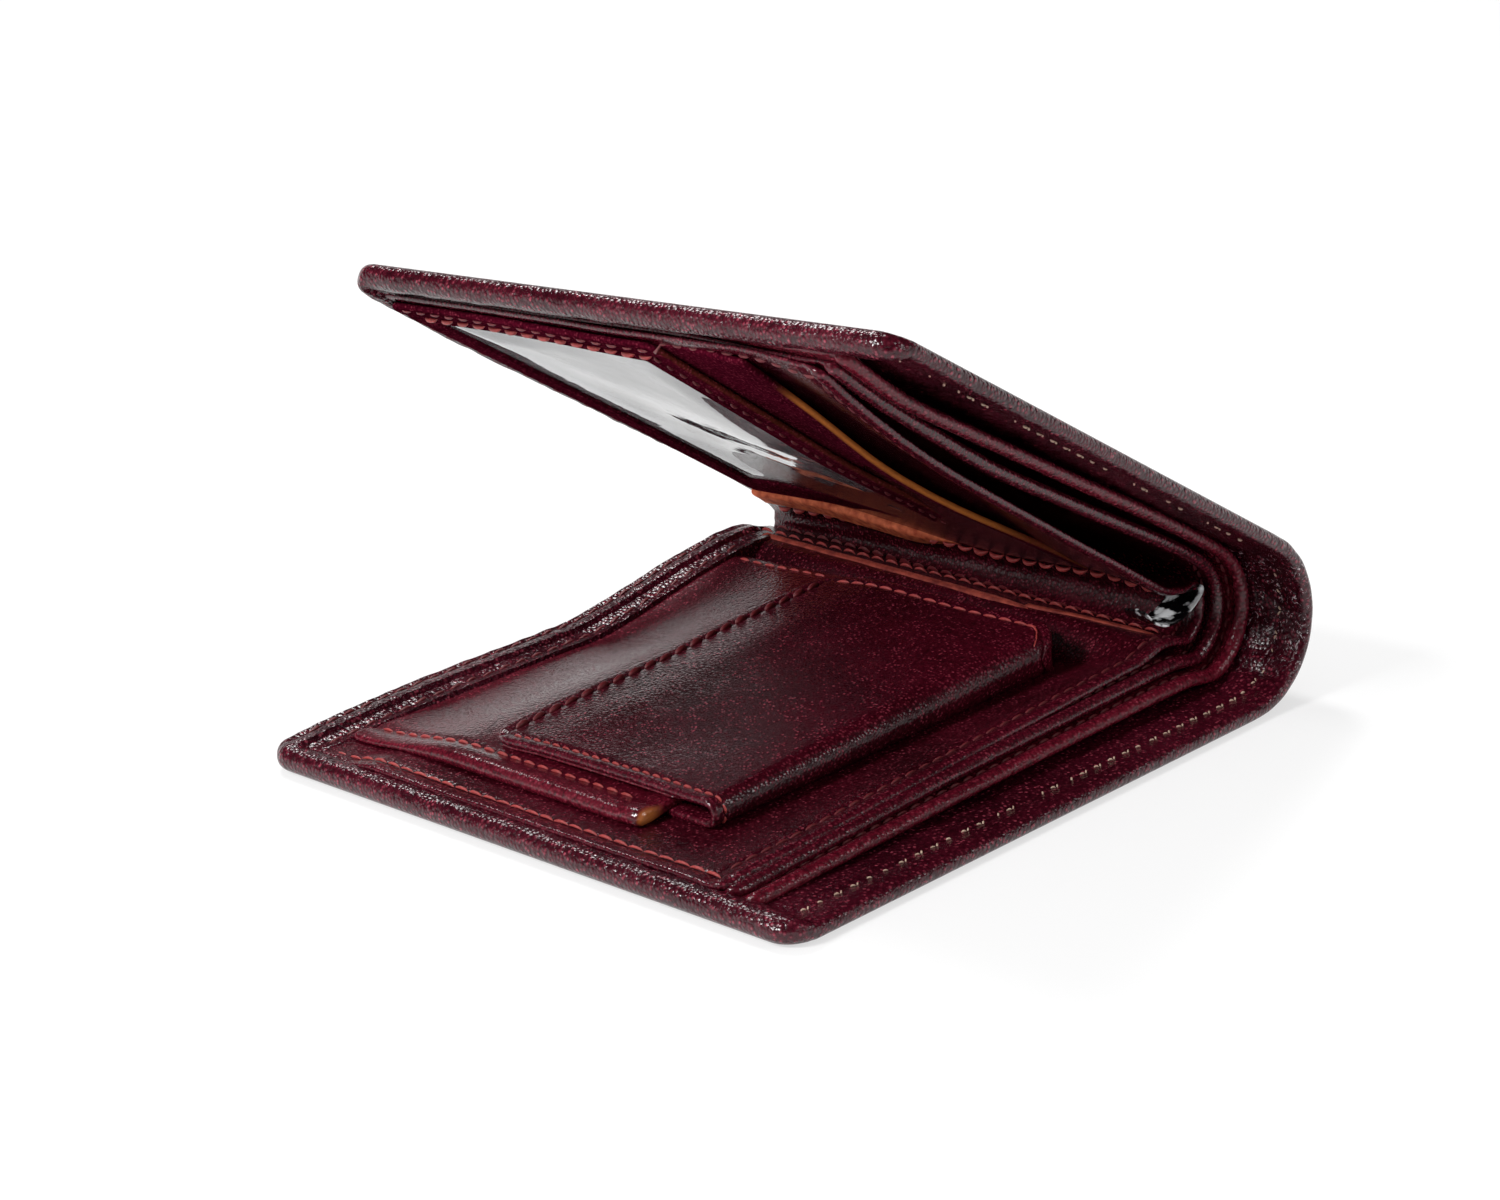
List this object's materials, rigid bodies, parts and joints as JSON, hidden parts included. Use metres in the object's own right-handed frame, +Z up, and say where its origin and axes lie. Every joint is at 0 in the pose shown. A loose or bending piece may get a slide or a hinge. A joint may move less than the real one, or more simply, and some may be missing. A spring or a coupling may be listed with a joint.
{
  "type": "bifold wallet",
  "caption": "Bifold leather wallet, folded at a soft spine, with a flapped coin pocket in one half and card slots with a window in the other.",
  "frame": {"origin": "under the middle of the wallet's box, on the surface it lies on", "axes": "+X from the lower half's outer edge towards the spine, +Y from the open bill edge to the sewn bottom edge, +Z up"},
  "size_m": [0.108, 0.1023, 0.071],
  "materials": {
    "burgundy_leather": "glossy pull-up leather",
    "lining_leather": "matt embossed lining",
    "snap_metal": "nickel plated",
    "window_film": "clear vinyl",
    "black_film": "gloss",
    "thread": "waxed thread"
  },
  "bodies": {
    "lower_half": {"lower_cover_leather": "burgundy_leather", "lower_cover_lining": "lining_leather", "lower_turned_edge": "burgundy_leather", "lower_bill_divider": "burgundy_leather", "lower_base_panel": "burgundy_leather", "lower_slip_panel": "burgundy_leather", "coin_pocket_back": "lining_leather", "coin_pocket_gusset": "lining_leather", "coin_pocket_front": "burgundy_leather", "coin_pocket_binding": "burgundy_leather", "coin_flap_hinge_roll": "burgundy_leather", "snap_stud": "snap_metal", "snap_rivet": "snap_metal"},
    "spine": {"spine_cover_leather": "burgundy_leather", "spine_cover_lining": "lining_leather", "spine_bill_divider": "burgundy_leather", "spine_inner_panel": "burgundy_leather", "spine_fold_film": "black_film"},
    "upper_half": {"upper_cover_leather": "burgundy_leather", "upper_cover_lining": "lining_leather", "upper_turned_edge": "burgundy_leather", "upper_bill_divider": "burgundy_leather", "upper_base_panel": "burgundy_leather", "card_panel_top": "burgundy_leather", "card_panel_middle": "burgundy_leather", "id_window_film": "window_film", "id_window_frame": "burgundy_leather"},
    "coin_flap": {"coin_flap_leather": "burgundy_leather", "coin_flap_lining": "lining_leather", "coin_flap_rim": "burgundy_leather", "snap_socket": "snap_metal", "snap_cap": "snap_metal"}
  },
  "joints": [
    {"name": "lower_fold", "type": "hinge", "parent": "lower_half", "child": "spine", "pos_m": [0.04794, -0.05075, 0.00189], "axis": [0.031, 0.9995, -0.0069], "range_deg": [-12, 74], "deforming": ["spine_cover_leather", "spine_cover_lining", "spine_bill_divider", "spine_inner_panel", "spine_fold_film"]},
    {"name": "upper_fold", "type": "hinge", "parent": "spine", "child": "upper_half", "pos_m": [0.05265, -0.05025, 0.01826], "axis": [0.0139, 0.9977, -0.0664], "range_deg": [-12, 74]},
    {"name": "coin_flap_hinge", "type": "hinge", "parent": "lower_half", "child": "coin_flap", "pos_m": [-0.04053, -0.02275, 0.00631], "axis": [0.9996, 0, 0.0277], "range_deg": [0, 170], "deforming": ["coin_flap_hinge_roll", "coin_flap_leather", "coin_flap_lining", "coin_flap_rim"]}
  ],
  "couplings": [
    {"joint": "upper_fold", "follows": "lower_fold", "ratio": 1}
  ]
}
